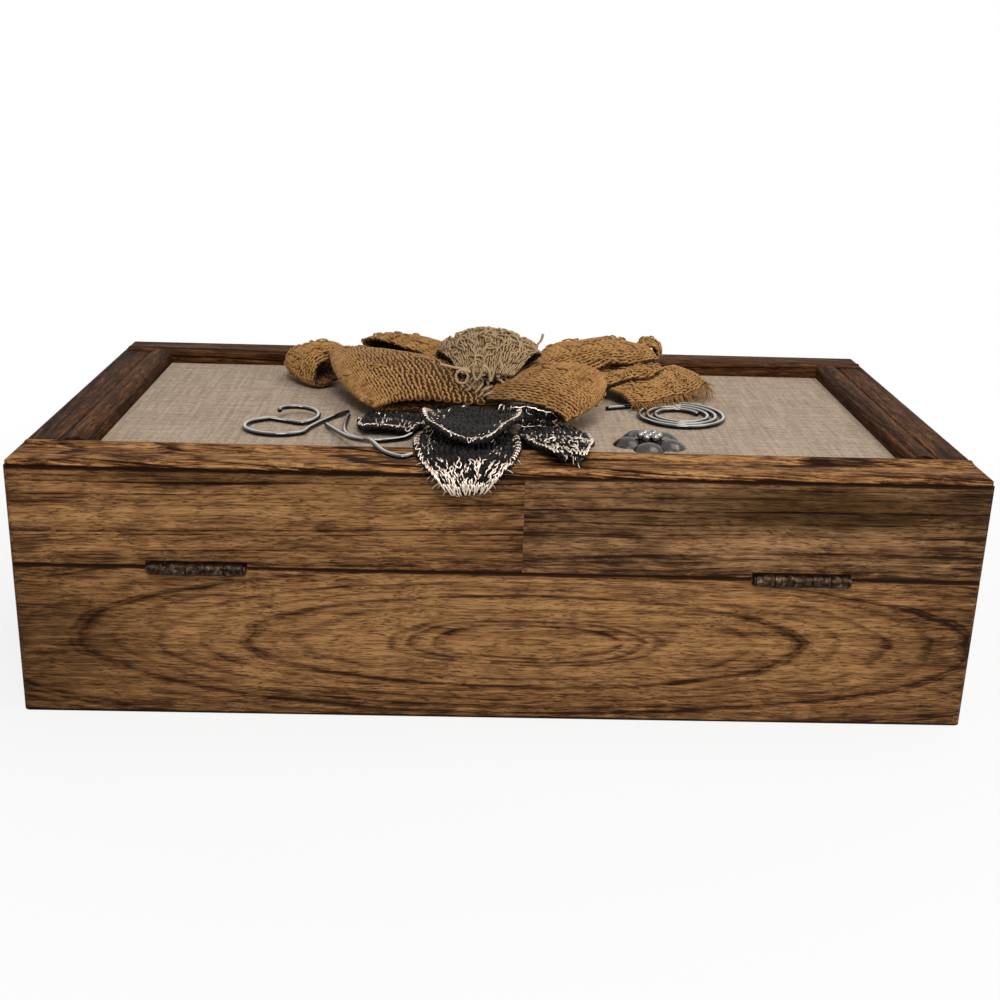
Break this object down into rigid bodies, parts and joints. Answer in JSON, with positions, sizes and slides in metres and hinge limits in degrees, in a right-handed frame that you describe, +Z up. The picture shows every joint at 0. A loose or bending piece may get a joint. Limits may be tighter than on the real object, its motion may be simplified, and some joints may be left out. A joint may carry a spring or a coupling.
{
  "type": "trinket box",
  "caption": "Hinged wooden trinket box with a moulded lid frame round a linen panel, dressed with a knitted fabric flower, wire scrolls and a small metal flower.",
  "frame": {"origin": "middle of the underside of the box, on the surface it stands on", "axes": "+Z up, X along the hinge line, hinges on the -Y side, opening side at +Y"},
  "size_m": [0.254, 0.1446, 0.0893],
  "materials": {
    "hardwood_board": "oiled brown hardwood boards with oval figure",
    "hardwood_rail": "oiled brown hardwood moulding",
    "dark_panel": "plain dark panel",
    "natural_linen": "plain woven natural linen",
    "antique_brass": "dark antique bronze patina",
    "gold_knit": "gold knitted yarn",
    "greige_knit": "greige knitted yarn with loose threads",
    "dark_mesh": "black knit with bright metallic yarn",
    "craft_wire": "polished grey craft wire",
    "charm_metal": "aged pewter with bright high points"
  },
  "bodies": {
    "base": {"base_hinge_wall": "hardwood_board", "base_front_wall": "hardwood_board", "base_left_wall": "hardwood_board", "base_right_wall": "hardwood_board", "base_bottom_panel": "dark_panel", "hinge_left_base_leaf": "antique_brass", "hinge_left_pin": "antique_brass", "hinge_right_base_leaf": "antique_brass", "hinge_right_pin": "antique_brass", "hinge_screws_base": "antique_brass"},
    "lid": {"lid_hinge_wall_left": "hardwood_board", "lid_hinge_wall_right": "hardwood_board", "lid_front_wall": "hardwood_board", "lid_left_wall": "hardwood_board", "lid_right_wall": "hardwood_board", "frame_hinge_rail": "hardwood_rail", "frame_front_rail": "hardwood_rail", "frame_left_rail": "hardwood_rail", "frame_right_rail": "hardwood_rail", "lid_panel": "dark_panel", "linen_cover": "natural_linen", "hinge_left_lid_leaf": "antique_brass", "hinge_right_lid_leaf": "antique_brass", "hinge_screws_lid": "antique_brass", "petal_gold_left": "gold_knit", "petal_gold_left_roll": "gold_knit", "petal_gold_back_left": "gold_knit", "petal_gold_right_front": "gold_knit", "petal_gold_right_back": "gold_knit", "petal_gold_right_fold": "gold_knit", "petal_gold_right_roll": "gold_knit", "petal_gold_right_frayed": "gold_knit", "flower_core": "greige_knit", "flower_centre_tuft": "greige_knit", "petal_dark_left": "dark_mesh", "petal_dark_cup_lower": "dark_mesh", "petal_dark_cup_upper": "dark_mesh", "petal_dark_right": "dark_mesh", "wire_scroll_left": "craft_wire", "wire_hook": "craft_wire", "wire_loop": "craft_wire", "wire_spiral_right": "craft_wire", "charm_flower": "charm_metal", "charm_beads": "charm_metal"}
  },
  "joints": [
    {"name": "lid_hinge", "type": "hinge", "parent": "base", "child": "lid", "pos_m": [0, -0.07075, 0.042], "axis": [1, 0, 0], "range_deg": [0, 170]}
  ]
}
